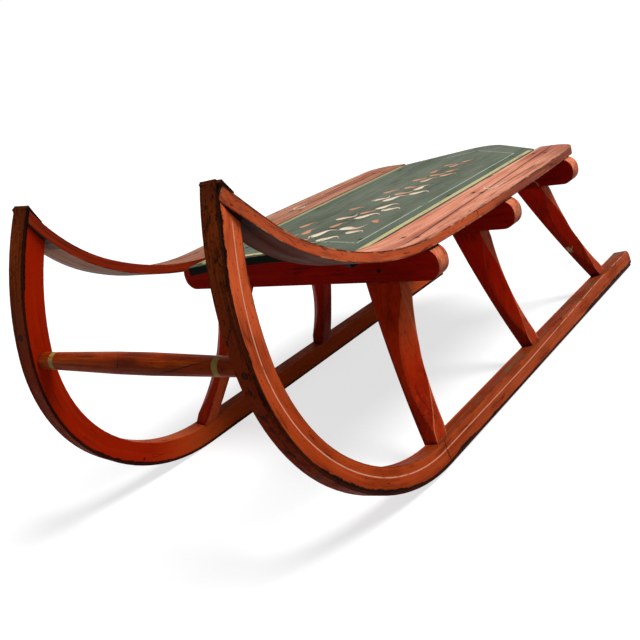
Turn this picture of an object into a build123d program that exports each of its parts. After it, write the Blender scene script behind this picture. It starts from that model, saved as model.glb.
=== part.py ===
from build123d import *
import os
from math import asin, cos, degrees, hypot, radians, sin

# A wooden snow sled. Millimetres and degrees, X forward, Y left, Z up.
# It stands on Z = 0 with the middle of its box on the Z axis.
# Places along the sled, named ..._back, are measured back from the front of the bows.

# Runners: two bent boards that lean in at the top, each with an iron shoe on its outer edge
overall_length = 880.0
half_track = 158.0            # middle plane to the runner's inner edge on the ground
runner_cant = 7.45            # lean of the runners towards the middle
runner_width = 18.2
runner_depth = 23.3           # wood alone, without its shoe
shoe_thickness = 3.0
bow_height = 206.0            # up the runner's slope to the front of the bow
bow_low_radius = 238.0        # shoe's outer face, first arc off the ground
bow_low_sweep = 45.0          # a second arc then goes up to the front of the bow
tip_radius = 314.0            # shoe's outer face, from there up to the tip
tip_sweep = 45.0              # reach of the tip's arc before it is cut to the rail
heel_radius = 14.0            # round top corner at the runner's rear end
shoe_tail_setback = 5.0       # the shoe ends this far before the runner does

# Deck level and cross beams
beam_bottom = 185.0
beam_height = 33.8
beam_thickness = 22.0
beam_overhang = 8.0           # beam's end beyond the rail where that is widest
beam_low_round = 17.0         # end corners, below
beam_top_round = 8.0          # end corners, above
beam_side_round = 9.0         # end corners, seen from above

# Side rails: flat over the beams, then bent up in two arcs onto the runners' tips
rail_thickness = 10.2
rail_rise_back = 287.5        # where the flat stretch ends
rise_low_radius = 376.0
rise_low_sweep = 28.0
rise_top_radius = 212.0
rise_top_reach = 78.0         # slope at which the rail's top arc stops before it is cut to the shoe
rail_widest = 175.5           # middle plane to the rail's outer edge where it is widest
rail_widest_back = 417.0
rail_front_radius = 2355.0    # outer edge in plan, ahead of the widest place
rail_rear_radius = 5500.0     # outer edge in plan, behind it
rail_nose_back = 68.0         # where the outer edge turns in to the runner's tip
rail_end_back = 738.0
rail_end_flat = 18.0          # straight stretch of the rail's rear end, beside the board
lap_front = 2.2               # thickness of the shoe's end where it folds over the rail's tip
lap_end = 0.8                 # and where it runs out
lap_reach = 19.0

# Centre board between the rails
board_half_width = 110.8
board_thickness = 10.4
rail_gap = 0.8                # open seam between board and rail
board_front_back = 218.0
board_front_hollow = 38.0     # depth of the hollow front end
board_shoulder_back = 724.0
board_point_length = 101.0    # shoulder to the sharp point that is then rounded
board_point_round = 43.0
board_shoulder_round = 22.0
board_ease = 1.6              # rounding along the board's upper edge

# Legs: sawn from one thickness of stock, raked along the sled and splayed across it
leg_thickness = 22.2
foot_width = 15.4
foot_inset = 3.4              # runner's outer face to the foot's outer edge
leg_belly = 2.8               # swell of the leg's inner edge
leg_waist = 3.0               # hollow of its outer edge
scoop_face = 15.0             # scooped chamfers on the outer corners: widest on front and back,
scoop_front = 13.6            # on the outer edge, from the front
scoop_back = 8.0              # and from the back,
scoop_stop = 12.0             # and how far from the leg's ends they run out
tenon_width = 9.0
tenon_thickness = 12.0
tenon_length = 14.0
tenon_root = 4.0              # overlap of a tenon with its own leg
joint_fit = 0.15              # clearance round tenons

# name, beam's middle and foot's middle behind the bows,
# beam's end to the leg's outer edge, and the leg's width under the beam
stations = (
    ("front", 284.0, 228.1, 55.6, 41.5),
    ("middle", 467.0, 491.2, 46.8, 37.7),
    ("rear", 683.0, 762.6, 52.0, 38.5),
)

# Turned bar between the bows
bar_height = 203.1            # up the runner's slope
bar_end_radius = 8.3
bar_middle_radius = 10.5
bar_middle_length = 46.0
bar_tenon_radius = 6.0
bar_tenon_length = 12.0

# Construction space well outside the sled
far = 2.0 * overall_length

front_x = overall_length / 2
rear_x = -overall_length / 2
slant = radians(90 - bow_low_sweep)
bow_radius = (bow_height - bow_low_radius * (1 - sin(slant))) / sin(slant)
bow_start = front_x - bow_radius - (bow_low_radius - bow_radius) * cos(slant)
beam_top = beam_bottom + beam_height
beam_half_length = rail_widest + beam_overhang
rail_inner = board_half_width + rail_gap
full_depth = runner_depth + shoe_thickness
cant_cos = cos(radians(runner_cant))
cant_sin = sin(radians(runner_cant))
outward = (0, cant_cos, cant_sin)

# Side view of the left runner, standing on its inner edge and leaning in
runner_plane = Plane(origin=(0, half_track, 0), x_dir=(1, 0, 0), z_dir=(0, -cant_cos, -cant_sin))


def on_runner(across, up):
    # Y and Z of a point given across the left runner and up its slope
    return (half_track + across * cant_cos - up * cant_sin, across * cant_sin + up * cant_cos)


def bow_line(depth, tail_x):
    # The runner's side view at one depth in from the shoe's outer face, tail to tip
    low_centre = (bow_start, bow_low_radius)
    bow_centre = (front_x - bow_radius, bow_height)
    tip_centre = (front_x - tip_radius, bow_height)
    return [
        Line((tail_x, depth), (bow_start, depth)),
        CenterArc(low_centre, bow_low_radius - depth, -90, bow_low_sweep),
        CenterArc(bow_centre, bow_radius - depth, bow_low_sweep - 90, 90 - bow_low_sweep),
        CenterArc(tip_centre, tip_radius - depth, 0, tip_sweep),
    ]


def bow_band(outer_depth, inner_depth, tail_x):
    outer = bow_line(outer_depth, tail_x)
    inner = bow_line(inner_depth, tail_x)
    ends = [Line(outer[0] @ 0, inner[0] @ 0), Line(outer[-1] @ 1, inner[-1] @ 1)]
    return make_face(outer + inner + ends)


def across_runner(band, inside=0.0, outside=runner_width):
    # A side view made as thick as the runner, or wider
    inner_face = Pos(Vector(*outward) * inside) * (runner_plane * band)
    return extrude(inner_face, amount=outside - inside, dir=outward)


def rail_line(height):
    # The rail's side view at one height above its underside, rear to tip
    start_x = front_x - rail_rise_back
    low_centre = Vector(start_x, beam_top + rise_low_radius)
    slope = radians(rise_low_sweep)
    top_centre = low_centre + Vector(sin(slope), -cos(slope)) * (rise_low_radius - rise_top_radius)
    return [
        Line((rear_x, beam_top + height), (start_x, beam_top + height)),
        CenterArc(low_centre, rise_low_radius - height, -90, rise_low_sweep),
        CenterArc(top_centre, rise_top_radius - height, rise_low_sweep - 90, rise_top_reach - rise_low_sweep),
    ]


def rail_band(low, high):
    below = rail_line(low)
    above = rail_line(high)
    ends = [Line(below[0] @ 0, above[0] @ 0), Line(below[-1] @ 1, above[-1] @ 1)]
    return extrude(Plane.XZ * make_face(below + above + ends), amount=far, both=True)


def over_rail(low):
    # Everything above one level of the rail
    edge = rail_line(low)
    first = edge[0] @ 0
    last = edge[-1] @ 1
    sky = [Line(first, (first.X, far)), Line((first.X, far), (last.X, far)), Line((last.X, far), last)]
    return extrude(Plane.XZ * make_face(edge + sky), amount=far, both=True)


def make_runner():
    band = bow_band(shoe_thickness, full_depth, rear_x)
    heel = band.vertices().group_by(Axis.X)[0].sort_by(Axis.Y)[-1]
    return across_runner(fillet(heel, heel_radius)) - over_rail(0.0)


def make_shoe():
    # A flat strap along the runner, whose end folds back over the rail's tip and thins out there
    strap = across_runner(bow_band(0.0, shoe_thickness, rear_x + shoe_tail_setback))
    lap_place = across_runner(bow_band(shoe_thickness, shoe_thickness + lap_reach, rear_x))
    lap = rail_band(rail_thickness, rail_thickness + lap_front) & lap_place
    box = lap.bounding_box()
    tip, tail = Vector(box.max.X, box.max.Z), Vector(box.min.X, box.min.Z)
    along = (tip - tail).normalized()
    above = Vector(-along.Y, along.X)
    waste = Polyline(tip, tail + above * lap_end, tail + above * lap_reach, tip + above * lap_reach,
                     close=True)
    lap -= extrude(Plane.XZ * make_face(waste.edges()), amount=far, both=True)
    return strap - over_rail(rail_thickness + lap_front) + lap


def make_rail():
    # Outer edge in plan: two long arcs that meet where the rail is widest, and a nose
    # that brings it in flush with the runner's outer face
    widest_x = front_x - rail_widest_back
    nose_x = front_x - rail_nose_back
    end_x = front_x - rail_end_back
    on_tip = rail_band(0.0, rail_thickness) & across_runner(bow_band(shoe_thickness, full_depth, rear_x))
    reach = on_tip.bounding_box().max
    tip_up = (reach.Z - runner_width * cant_sin) / cant_cos
    tip = Vector(reach.X, on_runner(runner_width, tip_up)[0])
    ahead = degrees(asin((nose_x - widest_x) / rail_front_radius))
    behind = degrees(asin((widest_x - end_x) / rail_rear_radius))
    front_arc = CenterArc((widest_x, rail_widest - rail_front_radius), rail_front_radius, 90, -ahead)
    rear_arc = CenterArc((widest_x, rail_widest - rail_rear_radius), rail_rear_radius, 90, behind)
    nose = TangentArc(front_arc @ 1, tip, tangent=front_arc % 1)
    heel = rear_arc @ 1
    inner_tip, inner_heel = (tip.X, rail_inner), (heel.X, rail_inner)
    straight = [Line(tip, inner_tip), Line(inner_tip, inner_heel), Line(inner_heel, heel)]
    plan = make_face([rear_arc, front_arc, nose] + straight)
    corner = plan.vertices().group_by(Axis.X)[0].sort_by(Axis.Y)[-1]
    end_round = heel.Y - rail_inner - rail_end_flat
    board = rail_band(0.0, rail_thickness) & extrude(fillet(corner, end_round), amount=far)
    ahead_of_wood = bow_band(-bow_radius, shoe_thickness, rear_x)
    return board - across_runner(ahead_of_wood, -bow_radius, bow_radius)


def make_board():
    front = front_x - board_front_back
    shoulder = front_x - board_shoulder_back
    wide = board_half_width
    point = (shoulder - board_point_length, 0)
    hollow = ThreePointArc((front, wide), (front - board_front_hollow, 0), (front, -wide))
    outline = Polyline((front, -wide), (shoulder, -wide), point, (shoulder, wide), (front, wide))
    plan = make_face([hollow] + outline.edges())
    plan = fillet(plan.vertices().group_by(Axis.X)[0], board_point_round)
    plan = fillet([v for v in plan.vertices() if abs(v.X - shoulder) < joint_fit], board_shoulder_round)
    board = Pos(0, 0, beam_top) * extrude(plan, amount=board_thickness)
    return fillet(board.faces().sort_by(Axis.Z)[-1].edges(), board_ease)


def make_beam(beam_back):
    end_view = Rectangle(2 * beam_half_length, beam_height, align=(Align.CENTER, Align.MIN))
    end_view = fillet(end_view.vertices().group_by(Axis.Y)[0], beam_low_round)
    end_view = fillet(end_view.vertices().group_by(Axis.Y)[-1], beam_top_round)
    face = Plane(origin=(front_x - beam_back, 0, beam_bottom), x_dir=(0, 1, 0), z_dir=(1, 0, 0)) * end_view
    plan = RectangleRounded(beam_thickness, 2 * beam_half_length, beam_side_round)
    from_above = extrude(Pos(front_x - beam_back, 0) * plan, amount=far)
    return extrude(face, amount=beam_thickness / 2, both=True) & from_above


class Leg:
    # The left leg of one station: its outline lies in a plane raked along the sled
    def __init__(self, beam_back, foot_back, top_inset, top_width):
        top_outer = beam_half_length - top_inset
        foot_outer = runner_width - foot_inset
        self.foot_mid = foot_outer - foot_width / 2
        mid_z = on_runner(self.foot_mid, full_depth)[1]
        run, rise = foot_back - beam_back, beam_bottom - mid_z
        length = hypot(run, rise)
        self.up = rise / length
        self.plane = Plane(origin=(front_x - beam_back, 0, beam_bottom), x_dir=(0, 1, 0),
                           z_dir=(self.up, 0, -run / length))
        self.top = [(top_outer - top_width, 0), (top_outer, 0)]
        self.foot = [self.local(foot_outer - foot_width), self.local(foot_outer)]

    def local(self, across, down=0.0):
        # A place on the runner's top, or below it, in the leg's own plane
        y, z = on_runner(across, full_depth - down)
        return (y, (z - beam_bottom) / self.up)

    def sawn(self, edges, thickness):
        return extrude(self.plane * make_face(edges), amount=thickness / 2, dir=(1, 0, 0), both=True)

    def body(self):
        inner_top, outer_top = self.top
        inner_foot, outer_foot = self.foot
        inner_edge = SagittaArc(inner_foot, inner_top, leg_belly)
        outer_edge = SagittaArc(outer_foot, outer_top, leg_waist)
        ends = [Line(inner_top, outer_top), Line(outer_foot, inner_foot)]
        whole = self.sawn([inner_edge, outer_edge] + ends, leg_thickness)
        return whole - self.scoop(1, scoop_front) - self.scoop(-1, scoop_back)

    def scoop(self, side, scoop_edge):
        # A long shallow hollow along one outer corner, front (1) or back (-1)
        offset = Vector(side * leg_thickness / 2, 0, 0)
        top, foot = [self.plane.from_local_coords(Vector(*p)) + offset for p in (self.top[1], self.foot[1])]
        along = (foot - top).normalized()
        outer_normal = Vector(1, 0, 0).cross(along).normalized()
        outer_normal = outer_normal * (1 if outer_normal.Y > 0 else -1)
        corner = (outer_normal * scoop_edge + self.plane.z_dir * side * scoop_face).normalized()
        depth = (leg_waist + scoop_face) * scoop_edge / hypot(scoop_face, scoop_edge)
        start, end = scoop_stop, (foot - top).length - scoop_stop
        arc = ThreePointArc((start, 0), ((start + end) / 2, -depth), (end, 0))
        cover = Polyline((end, 0), (end, depth), (start, depth), (start, 0))
        place = Plane(origin=top, x_dir=along, z_dir=along.cross(corner))
        return extrude(place * make_face([arc] + cover.edges()), amount=leg_thickness, both=True)

    def tenons(self, fit=0.0):
        # Stub tenons into the beam and the runner, with the clearance of their mortises
        half = tenon_width / 2 + fit
        middle = (self.top[0][0] + self.top[1][0]) / 2
        reach = tenon_length + fit
        upper = Polyline((middle - half, -tenon_root), (middle + half, -tenon_root),
                         (middle + half, reach), (middle - half, reach), close=True)
        sides = (self.foot_mid - half, self.foot_mid + half)
        lower = Polyline(self.local(sides[0], -tenon_root), self.local(sides[1], -tenon_root),
                         self.local(sides[1], reach), self.local(sides[0], reach), close=True)
        return [self.sawn(outline.edges(), tenon_thickness + 2 * fit) for outline in (upper, lower)]


def bar_axis():
    # Middle of the runner's wood, at the bar's height
    x = front_x - shoe_thickness - runner_depth / 2
    y, z = on_runner(0.0, bar_height)
    return x, y, z


def make_bar_tenon(fit=0.0):
    x, y, z = bar_axis()
    length = 2 * (y + bar_tenon_length + fit)
    return Pos(x, 0, z) * Rot(90, 0, 0) * Cylinder(bar_tenon_radius + fit, length)


def make_bar():
    x, y, z = bar_axis()
    past = y + bar_end_radius
    middle = bar_middle_length / 2
    side = Plane(origin=(x, 0, z), x_dir=(0, 1, 0), z_dir=(0, 0, 1))
    profile = Polyline((-past, 0), (-past, bar_end_radius), (-middle, bar_middle_radius),
                       (middle, bar_middle_radius), (past, bar_end_radius), (past, 0), close=True)
    turned = revolve(side * make_face(profile.edges()), Axis((x, 0, z), (0, 1, 0)))
    runner_side = across_runner(Pos(x, bar_height) * Rectangle(far, far))
    return turned - runner_side - both_sides(runner_side) + make_bar_tenon()


def both_sides(left):
    # The right-hand twin of a left-hand shape
    return mirror(left, about=Plane.XZ)


blank_runner = make_runner()
runner = blank_runner - make_bar_tenon(joint_fit)
sides = {"shoe": make_shoe(), "rail": make_rail()}
nodes = {"deck_board": make_board(), "front_bar": make_bar()}

for name, beam_back, foot_back, top_inset, top_width in stations:
    leg = Leg(beam_back, foot_back, top_inset, top_width)
    upper_mortise, lower_mortise = leg.tenons(joint_fit)
    nodes["beam_" + name] = make_beam(beam_back) - upper_mortise - both_sides(upper_mortise)
    runner -= lower_mortise
    upper_tenon, lower_tenon = leg.tenons()
    sides["leg_" + name] = leg.body() - blank_runner + upper_tenon + lower_tenon

sides["runner"] = runner
for name, left in sides.items():
    nodes[name + "_left"] = left
    nodes[name + "_right"] = both_sides(left)

os.makedirs("parts", exist_ok=True)
for name, shape in nodes.items():
    export_step(shape, "parts/" + name + ".step")
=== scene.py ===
import bpy
import bmesh
from math import asin, cos, pi, radians, sin, sqrt
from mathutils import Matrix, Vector


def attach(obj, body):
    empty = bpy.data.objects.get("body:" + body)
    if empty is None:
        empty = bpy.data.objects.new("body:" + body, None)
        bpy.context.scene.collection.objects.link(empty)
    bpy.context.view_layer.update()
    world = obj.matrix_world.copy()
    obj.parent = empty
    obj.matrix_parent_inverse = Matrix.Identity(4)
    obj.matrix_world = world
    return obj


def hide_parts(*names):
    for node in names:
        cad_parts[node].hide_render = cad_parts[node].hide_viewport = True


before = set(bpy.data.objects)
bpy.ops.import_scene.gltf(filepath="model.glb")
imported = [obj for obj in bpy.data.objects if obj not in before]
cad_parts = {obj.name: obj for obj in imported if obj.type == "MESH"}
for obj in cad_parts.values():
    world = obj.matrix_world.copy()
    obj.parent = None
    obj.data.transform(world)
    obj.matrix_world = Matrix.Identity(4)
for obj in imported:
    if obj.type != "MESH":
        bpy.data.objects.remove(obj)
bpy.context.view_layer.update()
print("frame loaded:", len(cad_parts), "wooden and iron pieces")


def seen(red, green, blue):
    # a colour as read off a screen, made linear
    return tuple(((v / 255 + 0.055) / 1.055) ** 2.4 for v in (red, green, blue)) + (1.0,)


def put(tree, kind, values=None, **settings):
    made = tree.nodes.new(kind)
    for name, value in settings.items():
        setattr(made, name, value)
    for key, value in (values or {}).items():
        if isinstance(value, bpy.types.NodeSocket):
            tree.links.new(value, made.inputs[key])
        else:
            made.inputs[key].default_value = value
    return made


def number(tree, operation, *terms):
    return put(tree, "ShaderNodeMath", dict(enumerate(terms)), operation=operation).outputs[0]


def chained(tree, operation, result, *others):
    for other in others:
        result = number(tree, operation, result, other)
    return result


def product(tree, *factors):
    return chained(tree, "MULTIPLY", *factors)


def most(tree, *values):
    return chained(tree, "MAXIMUM", *values)


def minus(tree, value, amount):
    return number(tree, "SUBTRACT", value, amount)


def mixed(tree, amount, under, over):
    return put(tree, "ShaderNodeMix", {0: amount, 6: under, 7: over}, data_type="RGBA").outputs[2]


def either(tree, choice, first, second):
    # the first number where choice is 0, the second where it is 1
    return put(tree, "ShaderNodeMix", {0: choice, 2: first, 3: second}, data_type="FLOAT").outputs[0]


def span(tree, value, low, high, lowest=0.0, highest=1.0):
    # smooth step from low to high, which may run either way
    values = {"Value": value, "From Min": low, "From Max": high, "To Min": lowest, "To Max": highest}
    return put(tree, "ShaderNodeMapRange", values, interpolation_type="SMOOTHSTEP").outputs[0]


def near(tree, value, place, reach, soft=0.3):
    # 1 within reach of a place, with a soft rim
    away = number(tree, "ABSOLUTE", minus(tree, value, place))
    return span(tree, away, reach * (1 + soft), reach * (1 - soft))


def cloud(tree, spot, stretch, detail=3.0, rough=0.55, shift=0.0):
    # noise whose features repeat about stretch times a metre along each axis
    spread = put(tree, "ShaderNodeMapping", {"Vector": spot, "Location": (shift, shift * 1.7, shift * 0.6),
                                             "Scale": stretch}).outputs[0]
    return put(tree, "ShaderNodeTexNoise", {"Vector": spread, "Scale": 1.0, "Detail": detail,
                                            "Roughness": rough}).outputs[0]


def vector(tree, x, y, z):
    return put(tree, "ShaderNodeCombineXYZ", {0: x, 1: y, 2: z}).outputs[0]


def apart(tree, first, second):
    return put(tree, "ShaderNodeVectorMath", {0: first, 1: second}, operation="DISTANCE").outputs["Value"]


def jagged(tree, value, noise, amount):
    # a measure made uneven by noise, by half the amount either way
    return minus(tree, number(tree, "MULTIPLY_ADD", noise, amount, value), amount / 2)


def placeNodes(tree):
    spot = put(tree, "ShaderNodeTexCoord").outputs["Object"]
    x, y, z = put(tree, "ShaderNodeSeparateXYZ", {0: spot}).outputs
    flat = put(tree, "ShaderNodeNewGeometry").outputs["True Normal"]
    facing = put(tree, "ShaderNodeSeparateXYZ", {0: flat}).outputs
    return {"spot": spot, "x": x, "y": y, "z": z, "aside": number(tree, "ABSOLUTE", y),
            "left": number(tree, "GREATER_THAN", y, 0.0),
            "facingX": facing[0], "facingY": facing[1], "facingZ": facing[2]}


shadingSet = {"samples": 6, "edgeFrom": 0.995, "corner": (0.75, 0.25), "bump": 0.8}


def edgeLine(tree, radius, full):
    # 1 on sharp edges, falling off over the radius
    rounded = put(tree, "ShaderNodeBevel", {"Radius": radius}, samples=shadingSet["samples"]).outputs[0]
    flat = put(tree, "ShaderNodeNewGeometry").outputs["Normal"]
    match = put(tree, "ShaderNodeVectorMath", {0: rounded, 1: flat}, operation="DOT_PRODUCT").outputs["Value"]
    return span(tree, match, shadingSet["edgeFrom"], full)


def cornerGrimeAndShade(tree, reach):
    # 1 in seams and corners, where shade falls
    clear = put(tree, "ShaderNodeAmbientOcclusion", {"Distance": reach}, samples=shadingSet["samples"])
    return span(tree, clear.outputs["AO"], *shadingSet["corner"])


def surface(name, finish):
    material = bpy.data.materials.new(name)
    material.use_nodes = True
    shader = material.node_tree.nodes["Principled BSDF"]
    shader.inputs["Specular IOR Level"].default_value = finish["gloss"]
    return material, material.node_tree, shader


def wire(tree, shader, finish, colour, rough, height):
    # edges are eased in the shading, and the paint's relief lies on top
    eased = put(tree, "ShaderNodeBevel", {"Radius": finish["ease"]}, samples=shadingSet["samples"]).outputs[0]
    bump = put(tree, "ShaderNodeBump", {"Height": height, "Distance": finish["relief"], "Normal": eased,
                                        "Strength": shadingSet["bump"]}).outputs[0]
    tree.links.new(colour, shader.inputs["Base Color"])
    tree.links.new(rough, shader.inputs["Roughness"])
    tree.links.new(bump, shader.inputs["Normal"])


# where the noise of each kind of wear begins and is full
paintWear = {
    "blotch": (0.42, 0.68), "deepLine": (0.50, 0.70), "paleLine": (0.46, 0.28), "finer": 2.6, "fineShare": 0.7,
    "speck": (0.64, 0.72), "fleck": (0.67, 0.75), "checkWidth": 0.016, "checked": (0.50, 0.58),
    "rubbed": (0.42, 0.54), "grimeSoft": 0.1, "chipEdge": (0.25, 0.60), "chip": (0.55, 0.61),
    "corner": (0.25, 0.60), "dullest": (0.3, 0.7), "lineRelief": 0.6, "chipRelief": 0.7, "checkRelief": 0.9,
}


def oldPaint(tree, grain, colour, finish):
    # brushed paint on wood: grain, drying checks, specks, rubbed and chipped edges, grime and painted shade in
    # corners
    wear = paintWear
    lines = cloud(tree, grain, finish["lines"], 4.0, 0.6, 3.1)
    fineLines = cloud(tree, grain, tuple(wear["finer"] * value for value in finish["lines"]), 3.0, 0.6, 8.3)
    blotch = cloud(tree, grain, finish["blotches"], 3.0, 0.6, 7.7)
    specks = cloud(tree, grain, finish["specks"], 2.0, 0.5, 1.3)
    flecks = cloud(tree, grain, finish["specks"], 2.0, 0.5, 21.9)
    colour = mixed(tree, span(tree, blotch, *wear["blotch"], 0.0, finish["blotchAmount"]), colour, finish["deep"])
    for streaks, share in ((lines, 1.0), (fineLines, wear["fineShare"])):
        amount = finish["lineAmount"] * share
        colour = mixed(tree, span(tree, streaks, *wear["deepLine"], 0.0, amount), colour, finish["deep"])
        colour = mixed(tree, span(tree, streaks, *wear["paleLine"], 0.0, amount), colour, finish["faded"])
    colour = mixed(tree, span(tree, specks, *wear["speck"], 0.0, finish["speckAmount"]), colour, finish["dirt"])
    colour = mixed(tree, span(tree, flecks, *wear["fleck"], 0.0, finish["fleckAmount"]), colour, finish["faded"])
    check = near(tree, cloud(tree, grain, finish["checks"], 2.0, 0.5, 12.7), 0.5, wear["checkWidth"], 0.8)
    check = product(tree, check, span(tree, blotch, *wear["checked"]), finish["checkAmount"])
    colour = mixed(tree, check, colour, finish["dirt"])
    edge = edgeLine(tree, finish["edge"], finish["edgeFull"])
    ragged = cloud(tree, grain, finish["chips"], 4.0, 0.65, 5.2)
    rub = product(tree, edge, span(tree, ragged, *wear["rubbed"]), finish["rubAmount"])
    colour = mixed(tree, rub, colour, finish["rubbed"])
    grime = span(tree, ragged, finish["grimeTo"], finish["grimeTo"] - wear["grimeSoft"])
    colour = mixed(tree, product(tree, edge, grime, finish["grimeAmount"]), colour, finish["dirt"])
    chip = product(tree, span(tree, edge, *wear["chipEdge"]), span(tree, ragged, *wear["chip"]))
    colour = mixed(tree, product(tree, chip, finish["chipAmount"]), colour, finish["wood"])
    # grime and painted shade, darkest in seams and corners where little light reaches
    dirt = product(tree, cornerGrimeAndShade(tree, finish["grimeShadeReach"]), span(tree, blotch, *wear["corner"], 0.6, 1.0))
    colour = mixed(tree, product(tree, dirt, finish["grimeShadeAmount"]), colour, finish["dirt"])
    sunk = number(tree, "ADD", product(tree, chip, wear["chipRelief"]), product(tree, check, wear["checkRelief"]))
    height = minus(tree, product(tree, lines, wear["lineRelief"]), sunk)
    rough = span(tree, blotch, *wear["dullest"], finish["smooth"], finish["dull"])
    return {"colour": colour, "height": height, "rough": rough, "ragged": ragged, "blotch": blotch, "lines": lines}


# nails in millimetres, alike on both sides
nailPlaces = {
    "rail": ((156, 136), (159, 154), (-30, 130), (-26, 143), (-247, 122), (-245, 139)),
    "board": ((151, 80), (-28, 98), (-242, 90)),
}
# screws through the shoes, in degrees round the bow from the front of it
screwAngles = {"left": (-1.6, -38.0), "right": (4.6, -36.0)}
stainSet = {"reach": 0.0046, "full": 0.35, "squeeze": 0.6, "amount": 0.6}


def nailStain(tree, place, nails):
    # strongest at each nail, drawn out along the grain
    reach, squeeze = stainSet["reach"], stainSet["squeeze"]
    folded = vector(tree, product(tree, place["x"], squeeze), place["aside"], 0.0)
    closest = 1.0
    for x, y in nails:
        away = apart(tree, folded, (squeeze * x / 1000, y / 1000, 0.0))
        closest = number(tree, "MINIMUM", closest, away)
    return span(tree, closest, reach, reach * stainSet["full"], 0.0, stainSet["amount"])


runnerShape = {"halfTrack": 0.158, "cant": 7.45, "front": 0.440, "bowHeight": 0.206, "lowRadius": 0.238,
               "lowSweep": 45.0, "tipRadius": 0.314, "width": 0.0182}
slant = radians(90 - runnerShape["lowSweep"])
bowRadius = (runnerShape["bowHeight"] - runnerShape["lowRadius"] * (1 - sin(slant))) / sin(slant)
bowStart = runnerShape["front"] - bowRadius - (runnerShape["lowRadius"] - bowRadius) * cos(slant)
bowLength = runnerShape["lowRadius"] * radians(runnerShape["lowSweep"]) + bowRadius * slant


def makeRunnerPath(shape):
    # how far along the bent runner, how deep from its sole and how far across a point is
    tree = bpy.data.node_groups.new("runnerPath", "ShaderNodeTree")
    for name in ("along", "depth", "across"):
        tree.interface.new_socket(name, in_out="OUTPUT", socket_type="NodeSocketFloat")
    place = placeNodes(tree)
    lean, stand = sin(radians(shape["cant"])), cos(radians(shape["cant"]))
    aside = minus(tree, place["aside"], shape["halfTrack"])
    across = number(tree, "ADD", product(tree, aside, stand), product(tree, place["z"], lean))
    up = minus(tree, product(tree, place["z"], stand), product(tree, aside, lean))
    sweep = radians(shape["lowSweep"])

    def arc(centreX, centreUp, radius, before, turned):
        # along and depth on one arc; turned is the angle at which it takes over
        ahead = minus(tree, place["x"], centreX)
        below = minus(tree, centreUp, up)
        angle = number(tree, "ARCTAN2", ahead, below)
        reach = number(tree, "SQRT", number(tree, "ADD", product(tree, ahead, ahead), product(tree, below, below)))
        along = number(tree, "MULTIPLY_ADD", minus(tree, angle, turned), radius, before)
        return {"along": along, "depth": minus(tree, radius, reach),
                "reached": number(tree, "GREATER_THAN", angle, turned)}

    result = {"along": minus(tree, place["x"], bowStart), "depth": up}
    low = arc(bowStart, shape["lowRadius"], shape["lowRadius"], 0.0, 0.0)
    bow = arc(shape["front"] - bowRadius, shape["bowHeight"], bowRadius, shape["lowRadius"] * sweep, sweep)
    tip = arc(shape["front"] - shape["tipRadius"], shape["bowHeight"], shape["tipRadius"], bowLength, pi / 2)
    for stretch in (low, bow, tip):
        result = {key: either(tree, stretch["reached"], result[key], stretch[key]) for key in result}
    put(tree, "NodeGroupOutput", dict(result, across=across))
    return tree


runnerPath = makeRunnerPath(runnerShape)
railShape = {"under": 0.2188, "riseStart": 0.1525, "lowRadius": 0.376, "lowSweep": 28.0, "topRadius": 0.212,
             "thickness": 0.0102, "inner": 0.1116, "noseCentre": (0.3625, 0.0861), "noseRadius": 0.0641}
railSweep = radians(railShape["lowSweep"])
railStep = railShape["lowRadius"] - railShape["topRadius"]
railTopCentre = (railShape["riseStart"] + railStep * sin(railSweep),
                 railShape["under"] + railShape["lowRadius"] - railStep * cos(railSweep))


def railUnder(tree, place, shape):
    # level of the rail's underside, which is flat and then rises in two arcs
    def sag(centreX, centreZ, radius):
        run = most(tree, minus(tree, place["x"], centreX), 0.0)
        rest = minus(tree, radius ** 2, product(tree, run, run))
        return minus(tree, centreZ, number(tree, "SQRT", most(tree, rest, 0.0)))

    low = sag(shape["riseStart"], shape["under"] + shape["lowRadius"], shape["lowRadius"])
    high = sag(railTopCentre[0], railTopCentre[1], shape["topRadius"])
    join = shape["riseStart"] + shape["lowRadius"] * sin(railSweep)
    return either(tree, number(tree, "GREATER_THAN", place["x"], join), low, high)


runnerFinish = {
    "gloss": 0.015, "smooth": 0.42, "dull": 0.62, "ease": 0.0016, "relief": 0.0006,
    "outer": seen(182, 68, 26), "tip": seen(226, 100, 53), "rear": seen(178, 76, 36), "top": seen(128, 50, 21),
    "topRight": seen(172, 74, 34), "inner": seen(186, 36, 0), "innerRearLit": seen(224, 92, 36),
    "deep": seen(116, 36, 10), "faded": seen(198, 86, 34), "rubbed": seen(164, 88, 48), "wood": seen(98, 72, 54),
    "dirt": seen(24, 11, 6), "stripe": seen(230, 158, 130), "worn": seen(108, 72, 42),
    "lines": (10.0, 180.0, 230.0), "blotches": (16.0, 50.0, 60.0), "specks": (260.0, 420.0, 420.0),
    "chips": (90.0, 260.0, 260.0), "checks": (7.0, 90.0, 110.0),
    "lineAmount": 0.36, "blotchAmount": 0.48, "speckAmount": 0.60, "fleckAmount": 0.30, "checkAmount": 0.50,
    "rubAmount": 0.60, "grimeAmount": 0.80, "grimeTo": 0.49, "chipAmount": 0.85,
    "grimeShadeAmount": 0.85, "grimeShadeReach": 0.010, "edge": 0.0022, "edgeFull": 0.80,
    "stripeDepth": 0.0168, "stripeWidth": 0.0012, "stripeEnd": 0.464, "stripeRise": 0.0075, "crack": -0.001,
    "seam": 0.0016, "seamOuter": 0.0062, "seamInner": 0.0044, "joint": 0.0016,
    "hole": (0.121, 0.0078), "holeRadius": 0.0016, "stripeWander": 0.0016, "stripeBow": 0.0030,
    "outerFrom": (0.0165, 0.0178), "innerFrom": (0.003, 0.001), "topFrom": (0.0250, 0.0262),
    "rearFade": (0.22, -0.25), "tipFade": (0.25, 0.43), "innerFade": (0.12, -0.02),
}


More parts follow.
